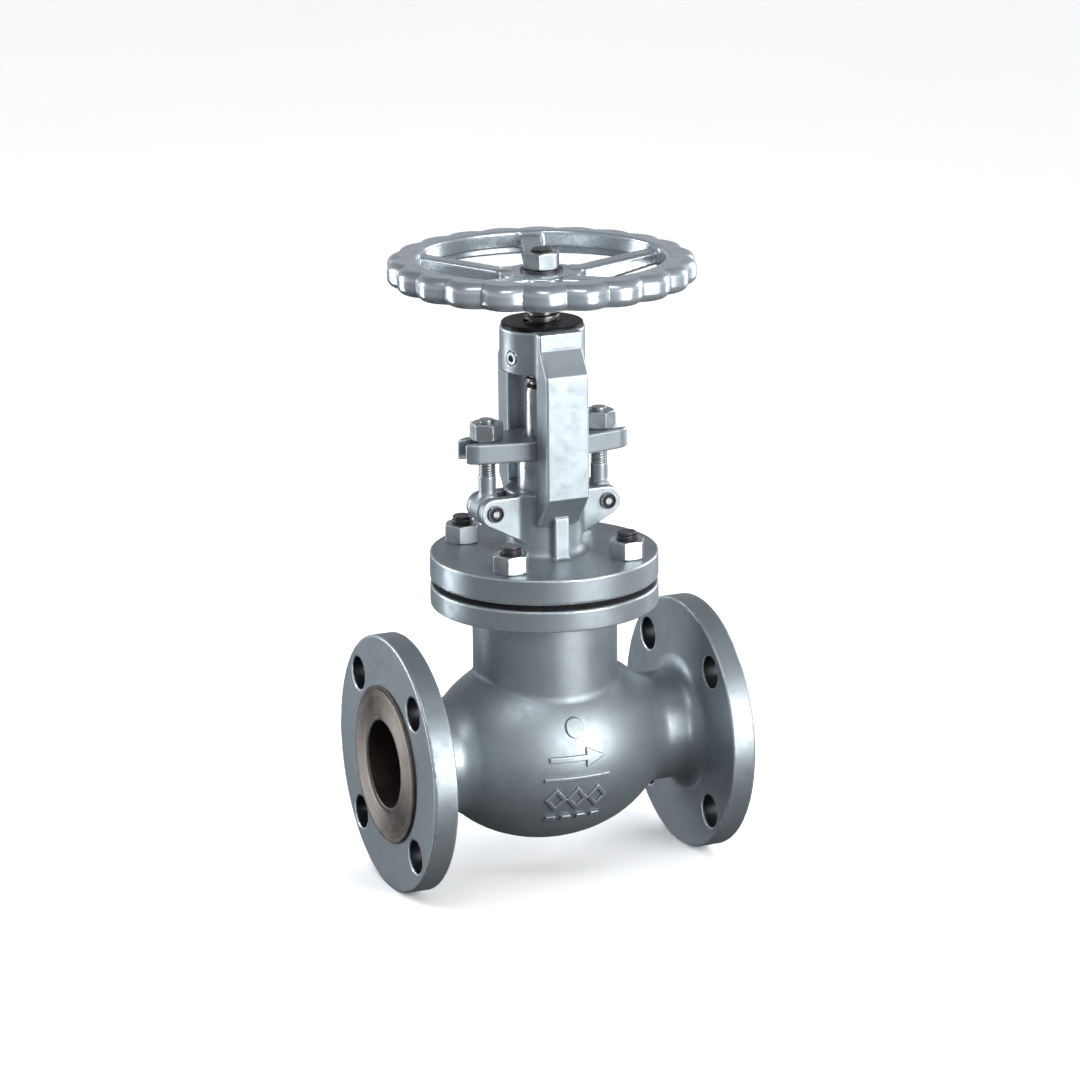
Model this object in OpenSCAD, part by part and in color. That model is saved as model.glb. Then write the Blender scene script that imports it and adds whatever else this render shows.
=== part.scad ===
// Globe valve, DN 50 (2 inch), Class 150, outside screw and yoke, flanged ends.
// +X runs along the pipe from inlet to outlet and +Z up the stem. The origin is
// where the two axes cross. The valve is drawn closed, with its disc on the seat.

/* [Pipe ends] */
// Face to face length along the pipe
face_to_face = 203; // [200:1:210]
// Outside diameter of the two end flanges
end_flange_d = 150; // [148:1:152]
// Thickness of an end flange, raised face included
end_flange_t = 15.9; // [15:0.1:18]
// Diameter of the raised face
raised_face_d = 92; // [90:0.5:94]
// Height of the raised face
raised_face_h = 1.6; // [1:0.1:2]
// Bore of the pipe ends
bore_d = 51; // [48:0.5:52]
// Diameter of the end flange bolt circle
end_pcd = 120.65; // [120:0.05:121]
// Diameter of an end flange bolt hole
end_hole_d = 19.05; // [18:0.05:20]

/* [Body] */
// Half the length of the globe along the pipe
globe_half_l = 72; // [70:1:74]
// Radius of the globe across the pipe
globe_r = 56; // [55:0.5:58]
// Outside radius of the pipe neck between globe and flange
pipe_neck_r = 32; // [31:0.5:34]
// Wall thickness of the cast body
body_wall = 8; // [7:0.5:9]
// Outside radius of the upright body neck
body_neck_r = 42; // [41:0.5:44]
// Radius of the body and bonnet flanges
bonnet_flange_r = 66; // [65:0.5:68]
// Height of the underside of the body's top flange
body_flange_z = 85.75; // [84:0.25:88]
// Height of the top of the body's top flange
body_top_z = 98.1; // [97:0.1:99]

/* [Bonnet and yoke] */
// Thickness of the gasket between body and bonnet
gasket_t = 3.6; // [3:0.1:4]
// Thickness of the bonnet flange
bonnet_flange_t = 14.9; // [14:0.1:16]
// Distance of each bonnet stud from the X and the Y axis
stud_offset = 36; // [35:0.5:38]
// Diameter of the bonnet studs
stud_d = 12; // [10:1:12]
// Outside radius of the stuffing box
box_r = 22; // [21:0.5:22.5]
// Height of the top of the stuffing box
box_top_z = 154; // [152:0.5:156]
// Distance from the stem axis to the outer face of a yoke arm
arm_out = 36; // [34:0.5:38]
// Distance from the stem axis to the inner face of a yoke arm
arm_in = 20.5; // [20:0.1:21]
// Width of a yoke arm along the pipe
arm_w = 26; // [24:1:28]
// Radius of the yoke hub
hub_r = 24.4; // [23.5:0.1:26]
// Height of the underside of the yoke hub
hub_low_z = 224; // [220:1:228]
// Height of the top of the yoke hub
hub_top_z = 249; // [245:1:252]

/* [Gland] */
// Distance from the stem axis to each eyebolt
eyebolt_x = 35; // [34.5:0.5:36]
// Height of the eyebolt pins
pin_z = 144.3; // [143:0.1:146]
// Diameter of an eyebolt
eyebolt_d = 10; // [9:0.5:10]
// Height of the underside of the gland flange
gland_z = 173.7; // [172:0.1:176]
// Thickness of the gland flange
gland_t = 11.7; // [10:0.1:13]
// Half the length of the gland flange, before its slots open the round ends
gland_half_l = 52; // [50:0.5:53]

/* [Stem and disc] */
// Diameter of the stem
stem_d = 20; // [19:0.5:20]
// How far the disc lifts off its seat
lift = 16; // [12:0.5:16]
// Bore of the seat ring
seat_d = 50; // [48:0.5:51]

/* [Handwheel] */
// Outside diameter of the handwheel over its lobes
wheel_d = 176; // [170:1:180]
// Radius of the opening inside the rim
rim_in_r = 70.4; // [68:0.1:72]
// Height of the top of the rim
rim_top_z = 288.8; // [288:0.1:292]
// Number of finger lobes round the rim
lobes = 22; // [18:1:26]
// Number of spokes
spokes = 5; // [3:1:6]

/* [Hidden] */
$fn = 96;

// Clearance of threads and of pieces that are fixed together
fixed_fit = 0.02;
// Radial clearance of a running fit
run_fit = 0.06;
// Amount by which a cut passes the face that it starts from
over = 1;

half_l = face_to_face / 2;
bore_r = bore_d / 2;
stem_r = stem_d / 2;
stud_r = stud_d / 2;
eyebolt_r = eyebolt_d / 2;
flange_back_x = half_l - end_flange_t;
flange_front_x = half_l - raised_face_h;
neck_start_x = 48;
flange_fillet = 9;

// Body inside
body_bore_r = 34;
web_low_z = -5;
web_top_z = 3;
web_wall_x = 36;
ring_out_r = 30;
seat_low_z = -7;
seat_top_z = 7;
seat_bevel = 2;
seat_r = seat_d / 2;

// Bonnet levels
bonnet_z = body_top_z + gasket_t;
bonnet_top_z = bonnet_z + bonnet_flange_t;
spigot_z = 96;
box_bore_r = 15;
box_floor_z = 112;
bush_bore_z = 106;
nut_h = 11;
nut_af = 18.8;
stud_top_z = bonnet_top_z + nut_h + 4.5;

// Eyebolt fork
ear_r = 8.5;
ear_in = 6.5;
ear_out = 12;
eye_r = 9;
eye_half_w = 6;
pin_r = 4;
pin_head_r = 5;
pin_head_h = 1.6;
ear_slope = 28;

// Gland
gland_top_z = gland_z + gland_t;
gland_mid_r = 19;
gland_end_r = 11;
gland_boss_r = 12.5;
gland_boss_h = 3.3;
gland_nut_af = 17;
gland_nut_h = 10;
gland_nut_gap = 0.25;
eyebolt_top_z = gland_top_z + gland_nut_gap + gland_nut_h + 1.8;
packing_count = 5;
packing_h = 5;
washer_h = 2;
packing_z = box_floor_z + washer_h;
follower_z = packing_z + packing_count * packing_h;

// Yoke bush and its screw
bush_step_z = hub_low_z + 4;
bush_r = 16;
bush_low_r = 13;
retainer_r = 23.4;
retainer_h = 2.4;
screw_z = 233;
screw_r = 4;
screw_angle = 200;

// Backseat bush and the stem shoulder that meets it at full lift
backseat_z = 92.2;
collar_r = 13;
collar_cone = 3;
collar_top_z = backseat_z - 0.2 - lift;
collar_h = 4;

// Disc
disc_r = 28.5;
disc_z = 3;
disc_gap = 0.15;
disc_rim_z = 16;
disc_hub_z = 24;
disc_hub_r = 16;
disc_nut_r = 13;
disc_nut_z = 16.3;
disc_nut_top_z = 30;
groove_r = 7;
groove_low_z = 11.9;
groove_top_z = 16.2;
stem_low_z = 8.2;
split_ring_r = 11.5;

// Handwheel
rim_low_z = rim_top_z - 14.8;
lobe_depth = 4;
lobe_points = 8;
lobe_start = 2.5;
wheel_hub_r = 23;
wheel_hub_z = 263;
wheel_hub_top_z = 280;
square_w = 14;
spoke_w = 12.7;
wheel_washer_r = 12.2;
wheel_washer_h = 1.6;
wheel_nut_af = 19;
wheel_nut_h = 10;
stem_end_r = 6;
stem_top_z = 293;

paint = [0.63, 0.67, 0.70];
zinc = [0.72, 0.74, 0.74];
dark_steel = [0.34, 0.31, 0.31];
black = [0.08, 0.08, 0.09];
stainless = [0.75, 0.76, 0.77];
bronze = [0.72, 0.55, 0.33];
graphite = [0.18, 0.18, 0.19];

// ---------- shared shapes ----------

// A ring about the Z axis between two heights
module ring(r_in, r_out, z0, z1) {
    translate([0, 0, z0])
        difference() {
            cylinder(r = r_out, h = z1 - z0);
            translate([0, 0, -over]) cylinder(r = r_in, h = z1 - z0 + 2 * over);
        }
}

// A plain cylinder about the Z axis between two heights
module post(r, z0, z1) {
    translate([0, 0, z0]) cylinder(r = r, h = z1 - z0);
}

// A hexagon nut with both faces chamfered, standing on z = 0
module hex_nut(af, h, hole_r) {
    corner_r = af / 2 / cos(30);
    rise = (corner_r - af / 2) * tan(30);
    difference() {
        intersection() {
            cylinder(r = corner_r, h = h, $fn = 6);
            rotate_extrude()
                polygon([[0, 0], [af / 2, 0], [corner_r, rise], [corner_r, h - rise],
                         [af / 2, h], [0, h]]);
        }
        translate([0, 0, -over]) cylinder(r = hole_r, h = h + 2 * over);
    }
}

// The four places of the bonnet studs
module at_studs() {
    for (sx = [-1, 1], sy = [-1, 1])
        translate([sx * stud_offset, sy * stud_offset, 0]) children();
}

// The four holes of each end flange, which straddle the pipe's centre lines
module end_flange_holes() {
    for (side = [-1, 1], a = [45 : 90 : 315])
        rotate([a, 0, 0])
            translate([side * (half_l - end_flange_t / 2), 0, end_pcd / 2])
                rotate([0, 90, 0])
                    cylinder(d = end_hole_d, h = end_flange_t + 2 * over, center = true);
}

// ---------- body ----------

function globe_arc(along, across, end_r, n) =
    let (last = acos(end_r / across))
    [for (i = [0 : n]) [across * cos(last * i / n), along * sin(last * i / n)]];

function concave_fillet(r0, x1, size, n) =
    [for (i = [0 : n]) [r0 + size * (1 - cos(90 * i / n)), x1 - size * (1 - sin(90 * i / n))]];

function both_ends(half) = concat(
    [for (i = [len(half) - 1 : -1 : 1]) [half[i][0], -half[i][1]]], half);

module about_pipe(outline) {
    rotate([0, 90, 0])
        rotate_extrude()
            polygon(concat([[0, -half_l]], outline, [[0, half_l]]));
}

module body_outside() {
    about_pipe(both_ends(concat(
        globe_arc(globe_half_l, globe_r, pipe_neck_r, 14),
        concave_fillet(pipe_neck_r, flange_back_x, flange_fillet, 5),
        [[end_flange_d / 2, flange_back_x], [end_flange_d / 2, flange_front_x],
         [raised_face_d / 2, flange_front_x], [raised_face_d / 2, half_l]]
    )));
    post(body_neck_r, 0, body_flange_z + over);
    post(bonnet_flange_r, body_flange_z, body_top_z);
}

// The Z-shaped wall that makes the flow pass up through the seat
module body_web() {
    reach = 2 * globe_half_l;
    wall = body_wall;
    difference() {
        union() {
            translate([-web_wall_x, -reach / 2, web_low_z])
                cube([2 * web_wall_x, reach, web_top_z - web_low_z]);
            translate([-web_wall_x - wall, -reach / 2, web_low_z]) cube([wall, reach, reach]);
            translate([web_wall_x, -reach / 2, web_top_z - reach]) cube([wall, reach, reach]);
        }
        post(ring_out_r + fixed_fit, web_low_z - over, web_top_z + over);
    }
}

module body_inside() {
    difference() {
        union() {
            rotate([0, 90, 0])
                rotate_extrude()
                    polygon(concat(
                        [[0, -globe_half_l + body_wall + 1]],
                        both_ends(globe_arc(globe_half_l - body_wall, globe_r - body_wall, 10, 12)),
                        [[0, globe_half_l - body_wall - 1]]));
            translate([-half_l - over, 0, 0])
                rotate([0, 90, 0])
                    cylinder(r = bore_r, h = face_to_face + 2 * over);
            post(body_bore_r, 0, body_top_z + over);
        }
        body_web();
    }
}

module body_casting() {
    difference() {
        body_outside();
        body_inside();
        end_flange_holes();
        at_studs() post(stud_r + fixed_fit, body_flange_z - 2 * over, body_top_z + over);
    }
}

// The space of one end flange with its neck
module end_space(side) {
    translate([side * (neck_start_x + half_l), 0, 0])
        cube([2 * half_l, end_flange_d + 2, end_flange_d + 2], center = true);
}

// The globe, up to where the necks of the end flanges begin
module body() {
    color(paint)
        difference() {
            body_casting();
            for (side = [-1, 1]) end_space(side);
        }
}

// An end flange with its neck and raised face
module end_flange(side) {
    color(paint)
        intersection() {
            body_casting();
            end_space(side);
        }
}

module seat_ring() {
    color(stainless)
        rotate_extrude()
            polygon([
                [seat_r, seat_low_z], [ring_out_r, seat_low_z], [ring_out_r, seat_top_z - 1],
                [ring_out_r - 1, seat_top_z], [seat_r + seat_bevel, seat_top_z],
                [seat_r, seat_top_z - seat_bevel]
            ]);
}

// ---------- bonnet joint ----------

module bonnet_gasket() {
    color(black)
        difference() {
            ring(body_bore_r + 0.3, bonnet_flange_r - 2.2, body_top_z, bonnet_z);
            at_studs() post(stud_r + 0.6, body_top_z - over, bonnet_z + over);
        }
}

module bonnet_studs() {
    color(dark_steel)
        at_studs()
            translate([0, 0, body_flange_z])
                rotate_extrude()
                    polygon([
                        [0, 0], [stud_r - 1, 0], [stud_r, 1],
                        [stud_r, stud_top_z - body_flange_z - 1],
                        [stud_r - 1, stud_top_z - body_flange_z],
                        [0, stud_top_z - body_flange_z]
                    ]);
}

module bonnet_nuts() {
    color(zinc)
        at_studs()
            translate([0, 0, bonnet_top_z]) hex_nut(nut_af, nut_h, stud_r + fixed_fit);
}

// ---------- bonnet and yoke ----------

// One ear plate, drawn in X and Z; its top edge is level with the ear
module ear_outline(side) {
    low_x = eyebolt_x + ear_r * sin(ear_slope);
    low_z = pin_z - ear_r * cos(ear_slope);
    run = low_x - box_r / 2;
    translate([side * eyebolt_x, pin_z]) circle(r = ear_r);
    polygon([
        [0, pin_z + ear_r], [side * eyebolt_x, pin_z + ear_r],
        [side * low_x, low_z], [side * box_r / 2, low_z - run * tan(ear_slope)],
        [0, low_z - run * tan(ear_slope)]
    ]);
}

module ears() {
    for (side = [-1, 1], y = [-ear_out, ear_in])
        translate([0, y, 0])
            rotate([90, 0, 0])
                translate([0, 0, -(ear_out - ear_in)])
                    linear_extrude(height = ear_out - ear_in) ear_outline(side);
}

// One yoke arm, drawn in Y and Z: pad on the hub, shoulder, long face and bevel
module arm_outline() {
    inner = box_bore_r + 2;
    polygon([
        [inner, hub_top_z], [arm_out - 9, hub_top_z], [arm_out - 9, hub_top_z - 9],
        [arm_out, hub_top_z - 23.5], [arm_out, box_top_z + 0.7],
        [box_r - 0.5, box_top_z - 17], [inner, box_top_z - 17], [inner, box_top_z],
        [arm_in, box_top_z], [arm_in, hub_low_z], [inner, hub_low_z]
    ]);
}

module arm_and_rib() {
    rib_w = 8.8;
    rotate([90, 0, 90])
        translate([0, 0, -arm_w / 2])
            linear_extrude(height = arm_w) arm_outline();
    translate([-rib_w / 2, box_bore_r + 2, bonnet_top_z - over])
        cube([rib_w, arm_out - 9.5 - box_bore_r - 2, box_top_z - 13 - bonnet_top_z + over]);
}

module bonnet_outside() {
    post(body_bore_r - 0.1, spigot_z, bonnet_z + over);
    post(bonnet_flange_r, bonnet_z, bonnet_top_z);
    rotate_extrude()
        polygon(concat(
            [[0, bonnet_z + over], [box_r + 5, bonnet_z + over], [box_r + 5, bonnet_top_z]],
            [for (i = [1 : 5]) [box_r + 5 * (1 - sin(18 * i)), bonnet_top_z + 5 * (1 - cos(18 * i))]],
            [[box_r, box_top_z], [0, box_top_z]]));
    ears();
    arm_and_rib();
    mirror([0, 1, 0]) arm_and_rib();
    post(hub_r, hub_low_z, hub_top_z);
}

module bonnet() {
    color(paint)
        difference() {
            bonnet_outside();
            post(box_bore_r, box_floor_z, box_top_z + over);
            post(stem_r + 0.6, spigot_z - over, box_floor_z + over);
            post(box_bore_r + fixed_fit, spigot_z - over, bush_bore_z);
            at_studs() post(stud_r + 0.75, bonnet_z - over, bonnet_top_z + over);
            for (side = [-1, 1])
                translate([side * eyebolt_x, ear_out + over, pin_z])
                    rotate([90, 0, 0])
                        cylinder(r = pin_r + fixed_fit, h = 2 * (ear_out + over));
            post(bush_low_r, hub_low_z - over, hub_top_z + over);
            post(bush_r + fixed_fit, bush_step_z, hub_top_z + over);
            yoke_screw_place() cylinder(r = screw_r + fixed_fit, h = hub_r);
        }
}

// ---------- stuffing box ----------

module backseat_bush() {
    color(stainless)
        rotate_extrude()
            polygon([
                [collar_r + 0.2, backseat_z], [box_bore_r + 2, backseat_z],
                [box_bore_r + 2, spigot_z], [box_bore_r, spigot_z],
                [box_bore_r, bush_bore_z], [stem_r + 0.3, bush_bore_z],
                [stem_r + 0.3, backseat_z + collar_cone - 0.1]
            ]);
}

module packing_washer() {
    color(stainless) ring(stem_r + 0.3, box_bore_r - fixed_fit, box_floor_z, packing_z);
}

module packing_rings() {
    color(graphite)
        for (i = [0 : packing_count - 1])
            ring(stem_r + run_fit, box_bore_r - fixed_fit,
                 packing_z + i * packing_h + 0.05, packing_z + (i + 1) * packing_h);
}

module gland_follower() {
    color(stainless)
        difference() {
            union() {
                post(box_bore_r - 0.1, follower_z, gland_z);
                post(gland_boss_r, follower_z, gland_z + gland_boss_h - 0.1);
            }
            post(stem_r + 0.3, follower_z - over, gland_top_z);
        }
}

// Points of an arc about (x, 0) between two angles
function arc(x, r, from, to, n) =
    [for (i = [0 : n]) let (a = from + (to - from) * i / n) [x + r * cos(a), r * sin(a)]];

// A long flange, wide in the middle, with one round end at each bolt
module gland_outline() {
    end_x = gland_half_l - gland_end_r;
    lean = asin((gland_mid_r - gland_end_r) / end_x);
    turn = 90 - lean;
    polygon(concat(
        arc(end_x, gland_end_r, -turn, turn, 14), arc(0, gland_mid_r, turn, 180 - turn, 4),
        arc(-end_x, gland_end_r, 180 - turn, 180 + turn, 14),
        arc(0, gland_mid_r, 180 + turn, 360 - turn, 4)
    ));
}

module gland_flange() {
    slot_r = eyebolt_r + 0.5;
    color(paint)
        difference() {
            translate([0, 0, gland_z]) linear_extrude(height = gland_t) gland_outline();
            post(stem_r + 0.8, gland_z - over, gland_top_z + over);
            post(gland_boss_r + 0.1, gland_z - over, gland_z + gland_boss_h);
            for (side = [-1, 1]) {
                translate([side * eyebolt_x, 0, 0]) post(slot_r, gland_z - over, gland_top_z + over);
                translate([side * (eyebolt_x + gland_half_l / 2), 0, gland_z + gland_t / 2])
                    cube([gland_half_l, 2 * slot_r, gland_t + 2 * over], center = true);
            }
        }
}

module eyebolt(side) {
    color(zinc)
        translate([side * eyebolt_x, 0, pin_z])
            difference() {
                union() {
                    rotate([90, 0, 0])
                        translate([0, 0, -eye_half_w]) cylinder(r = eye_r, h = 2 * eye_half_w);
                    rotate_extrude()
                        polygon([
                            [0, 0], [eyebolt_r, 0], [eyebolt_r, eyebolt_top_z - pin_z - 1],
                            [eyebolt_r - 1, eyebolt_top_z - pin_z], [0, eyebolt_top_z - pin_z]
                        ]);
                }
                rotate([90, 0, 0])
                    translate([0, 0, -eye_half_w - over])
                        cylinder(r = pin_r + run_fit, h = 2 * (eye_half_w + over));
            }
}

// A pin with a shallow turned ring in each of its two heads
module eyebolt_pin(side) {
    end = ear_out + pin_head_h;
    color(dark_steel)
        translate([side * eyebolt_x, 0, pin_z])
            rotate([90, 0, 0])
                rotate_extrude()
                    polygon([
                        [0, -end], [2, -end], [2.4, -end + 0.8], [3.6, -end + 0.8], [4, -end],
                        [pin_head_r - 0.4, -end], [pin_head_r, -end + 0.4],
                        [pin_head_r, -ear_out], [pin_r, -ear_out],
                        [pin_r, ear_out], [pin_head_r, ear_out],
                        [pin_head_r, end - 0.4], [pin_head_r - 0.4, end],
                        [4, end], [3.6, end - 0.8], [2.4, end - 0.8], [2, end], [0, end]
                    ]);
}

module gland_nut(side) {
    color(zinc)
        translate([side * eyebolt_x, 0, gland_top_z + gland_nut_gap])
            rotate([0, 0, 30]) hex_nut(gland_nut_af, gland_nut_h, eyebolt_r + run_fit);
}

// ---------- yoke bush ----------

module yoke_bush() {
    color(bronze)
        rotate_extrude()
            polygon([
                [stem_r + run_fit, hub_low_z], [bush_low_r - fixed_fit, hub_low_z],
                [bush_low_r - fixed_fit, bush_step_z], [bush_r, bush_step_z],
                [bush_r, hub_top_z], [stem_r + run_fit, hub_top_z]
            ]);
}

module bush_retainer() {
    color(black)
        rotate_extrude()
            polygon([
                [stem_r + 0.8, hub_top_z], [retainer_r, hub_top_z],
                [retainer_r, hub_top_z + retainer_h - 0.6],
                [retainer_r - 0.6, hub_top_z + retainer_h], [stem_r + 0.8, hub_top_z + retainer_h]
            ]);
}

module yoke_screw_place() {
    rotate([0, 0, screw_angle])
        translate([bush_r + 0.1, 0, screw_z])
            rotate([0, 90, 0]) children();
}

module yoke_set_screw() {
    screw_l = hub_r - bush_r;
    color(dark_steel)
        yoke_screw_place()
            difference() {
                rotate_extrude()
                    polygon([
                        [0, 0], [screw_r - 1, 0], [screw_r, 1], [screw_r, screw_l - 0.5],
                        [screw_r - 0.5, screw_l], [0, screw_l]
                    ]);
                translate([0, 0, screw_l - 4]) cylinder(r = 2.3, h = 4 + over, $fn = 6);
            }
}

// ---------- stem and disc ----------

module stem() {
    color(stainless) {
        rotate_extrude()
            polygon([
                [0, stem_low_z], [stem_r - 1.2, stem_low_z], [stem_r - 0.2, stem_low_z + 1],
                [stem_r - 0.2, groove_low_z], [groove_r, groove_low_z],
                [groove_r, groove_top_z], [stem_r, groove_top_z],
                [stem_r, collar_top_z - collar_h - collar_cone],
                [collar_r, collar_top_z - collar_h], [collar_r, collar_top_z],
                [stem_r, collar_top_z + collar_cone], [stem_r, wheel_hub_z],
                [stem_end_r, wheel_hub_z], [stem_end_r, stem_top_z - 1],
                [stem_end_r - 1, stem_top_z], [0, stem_top_z]
            ]);
        translate([-square_w / 2, -square_w / 2, wheel_hub_z - over])
            cube([square_w, square_w, wheel_hub_top_z - wheel_hub_z + over - 0.3]);
    }
}

module disc() {
    low_r = seat_r - 0.5;
    cone_z = seat_top_z - seat_bevel - 0.5 + disc_gap;
    color(stainless)
        rotate_extrude()
            polygon([
                [0, disc_z], [low_r - 1, disc_z], [low_r, disc_z + 1], [low_r, cone_z],
                [seat_r + seat_bevel + 0.2, cone_z + seat_bevel + 0.7],
                [disc_r, cone_z + seat_bevel + 0.7], [disc_r, disc_rim_z - 1],
                [disc_r - 1, disc_rim_z], [disc_hub_r + 2, disc_rim_z],
                [disc_hub_r, disc_rim_z + 2], [disc_hub_r, disc_hub_z],
                [disc_nut_r + fixed_fit, disc_hub_z], [disc_nut_r + fixed_fit, disc_nut_z],
                [split_ring_r + 0.1, disc_nut_z], [split_ring_r + 0.1, stem_low_z - 0.1],
                [0, stem_low_z - 0.1]
            ]);
}

// Two half rings that hold the stem's button in the disc
module disc_split_ring() {
    color(bronze)
        difference() {
            ring(groove_r + 0.1, split_ring_r, groove_low_z + 0.1, groove_top_z - 0.1);
            translate([0, 0, groove_low_z + 2])
                cube([1, 3 * split_ring_r, 3 * split_ring_r], center = true);
        }
}

module disc_nut() {
    color(stainless)
        difference() {
            union() {
                post(disc_nut_r, disc_nut_z, disc_hub_z + over);
                translate([0, 0, disc_hub_z]) hex_nut(30, disc_nut_top_z - disc_hub_z, stem_r);
            }
            post(stem_r + 0.3, disc_nut_z - over, disc_nut_top_z + over);
        }
}

// ---------- handwheel ----------

// Round the rim, each lobe swells between two sharp valleys
function lobed_radius(a) =
    wheel_d / 2 - lobe_depth * (1 - abs(cos(lobes * (a - lobe_start) / 2)));

module wheel_rim() {
    points = lobes * lobe_points;
    difference() {
        translate([0, 0, rim_low_z])
            linear_extrude(height = rim_top_z - rim_low_z)
                polygon([for (i = [0 : points - 1])
                    let (a = lobe_start + i * 360 / points)
                    [lobed_radius(a) * cos(a), lobed_radius(a) * sin(a)]]);
        post(rim_in_r, rim_low_z - over, rim_top_z + over);
        post(rim_in_r + 6, rim_low_z - over, rim_top_z - 9.8);
    }
}

module wheel_spokes() {
    for (i = [0 : spokes - 1])
        rotate([0, 0, i * 360 / spokes])
            rotate([90, 0, 0])
                translate([0, 0, -spoke_w / 2])
                    linear_extrude(height = spoke_w)
                        polygon([
                            [wheel_hub_r - 5, wheel_hub_top_z - 0.4],
                            [rim_in_r + 2, rim_top_z - 2], [rim_in_r + 2, rim_top_z - 9.5],
                            [wheel_hub_r + 8, wheel_hub_top_z - 10],
                            [wheel_hub_r - 5, wheel_hub_top_z - 10]
                        ]);
}

module handwheel() {
    hole_w = square_w + 2 * fixed_fit;
    color(paint)
        difference() {
            union() {
                wheel_rim();
                wheel_spokes();
                post(wheel_hub_r, wheel_hub_z + 3, wheel_hub_top_z);
                post(wheel_hub_r - 6, wheel_hub_z, wheel_hub_top_z);
            }
            translate([0, 0, (wheel_hub_z + wheel_hub_top_z) / 2])
                cube([hole_w, hole_w, wheel_hub_top_z], center = true);
        }
}

module handwheel_washer() {
    color(dark_steel)
        ring(stem_end_r + 0.2, wheel_washer_r, wheel_hub_top_z, wheel_hub_top_z + wheel_washer_h);
}

module handwheel_nut() {
    color(zinc)
        translate([0, 0, wheel_hub_top_z + wheel_washer_h])
            hex_nut(wheel_nut_af, wheel_nut_h, stem_end_r + fixed_fit);
}

body();
end_flange(-1);  // inlet_flange
end_flange(1);  // outlet_flange
seat_ring();
bonnet_gasket();
bonnet();
bonnet_studs();
bonnet_nuts();
backseat_bush();
packing_washer();
packing_rings();
gland_follower();
gland_flange();
eyebolt(-1);  // eyebolt_left
eyebolt(1);  // eyebolt_right
eyebolt_pin(-1);  // eyebolt_pin_left
eyebolt_pin(1);  // eyebolt_pin_right
gland_nut(-1);  // gland_nut_left
gland_nut(1);  // gland_nut_right
yoke_bush();
bush_retainer();
yoke_set_screw();
stem();
disc();
disc_split_ring();
disc_nut();
handwheel();
handwheel_washer();
handwheel_nut();
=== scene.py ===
"""Globe valve: castings with blended corners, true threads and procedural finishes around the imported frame.

Shapes are worked out in millimetres in the frame's own axes (X along the pipe, Z up the stem) and are
turned into metres when a mesh is made. A field is a function of x, y and z that is negative inside a shape.
"""
import math

import bmesh
import bpy
import numpy as np
from mathutils import Matrix, Vector


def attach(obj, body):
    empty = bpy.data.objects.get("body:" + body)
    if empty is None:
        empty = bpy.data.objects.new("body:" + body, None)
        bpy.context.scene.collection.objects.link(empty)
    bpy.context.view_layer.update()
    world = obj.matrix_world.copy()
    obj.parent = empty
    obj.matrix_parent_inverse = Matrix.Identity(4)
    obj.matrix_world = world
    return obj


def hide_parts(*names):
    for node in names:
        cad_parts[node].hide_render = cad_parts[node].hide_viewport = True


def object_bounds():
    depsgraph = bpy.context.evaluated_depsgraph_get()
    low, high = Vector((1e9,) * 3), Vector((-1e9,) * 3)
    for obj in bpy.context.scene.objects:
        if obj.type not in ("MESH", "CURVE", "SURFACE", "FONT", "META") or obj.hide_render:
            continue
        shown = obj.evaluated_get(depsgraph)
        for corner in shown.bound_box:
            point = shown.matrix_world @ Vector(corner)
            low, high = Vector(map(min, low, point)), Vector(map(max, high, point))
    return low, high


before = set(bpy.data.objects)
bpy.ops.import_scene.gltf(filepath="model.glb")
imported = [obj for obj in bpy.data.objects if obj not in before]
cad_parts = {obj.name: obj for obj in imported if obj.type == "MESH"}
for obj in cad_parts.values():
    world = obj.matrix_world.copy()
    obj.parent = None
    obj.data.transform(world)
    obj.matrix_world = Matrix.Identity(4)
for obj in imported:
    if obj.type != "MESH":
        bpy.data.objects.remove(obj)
cad_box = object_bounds()
MM = 0.001

# ---------- driving sizes, in millimetres ----------

HALF_L = 101.5
FLANGE_R = 75.0
FLANGE_BACK = 85.6
FACE_R = 46.0
FACE_H = 1.6
BORE_R = 25.5
BOLT_CIRCLE_R = 60.325
BOLT_HOLE_R = 9.525
PIPE_NECK_R = 32.0
GLOBE_L = 72.0
GLOBE_R = 56.0
WALL = 8.0
NECK_R = 42.0
NECK_BORE_R = 34.0
BODY_FLANGE_R = 66.0
BODY_FLANGE_Z = 85.75
BODY_TOP_Z = 98.1
WEB_X = 36.0
WEB_LOW_Z = -5.0
WEB_TOP_Z = 3.0
SEAT_HOLE_R = 30.0
GLOBE_TO_PIPE_BLEND = 5.0
PIPE_TO_FLANGE_BLEND = 9.0
GLOBE_TO_NECK_BLEND = 1.6
NECK_TO_FLANGE_BLEND = 3.5

FLANGE_EDGE_R = 0.9
BONNET_Z = 101.7
BONNET_TOP_Z = 116.6
SPIGOT_Z = 96.0
STUD_OFFSET = 36.0
STUD_R = 6.0
STUD_TOP_Z = 132.1
BOX_R = 22.0
BOX_BORE_R = 15.0
BOX_FLOOR_Z = 112.0
BOX_TOP_Z = 154.0
ARM_IN = 20.5
ARM_OUT = 36.0
ARM_HALF_W = 13.0
HUB_R = 24.4
HUB_Z = 224.0
HUB_TOP_Z = 249.0
BUSH_R = 16.0
SET_SCREW_Z = 233.0
SET_SCREW_ANGLE = math.radians(200)

PIN_X = 35.0
PIN_Z = 144.3
PIN_R = 4.0
EYEBOLT_R = 5.0
EYEBOLT_TOP_Z = 197.45
GLAND_Z = 173.7
GLAND_T = 11.7
GLAND_HALF_L = 52.0
GLAND_MID_R = 19.0
GLAND_END_R = 11.0

STEM_R = 10.0
STEM_PITCH = 4.0
STEM_THREAD_Z = 213.0
WHEEL_HUB_Z = 263.0
WHEEL_HUB_TOP_Z = 280.0
STEM_TOP_Z = 293.0

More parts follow.
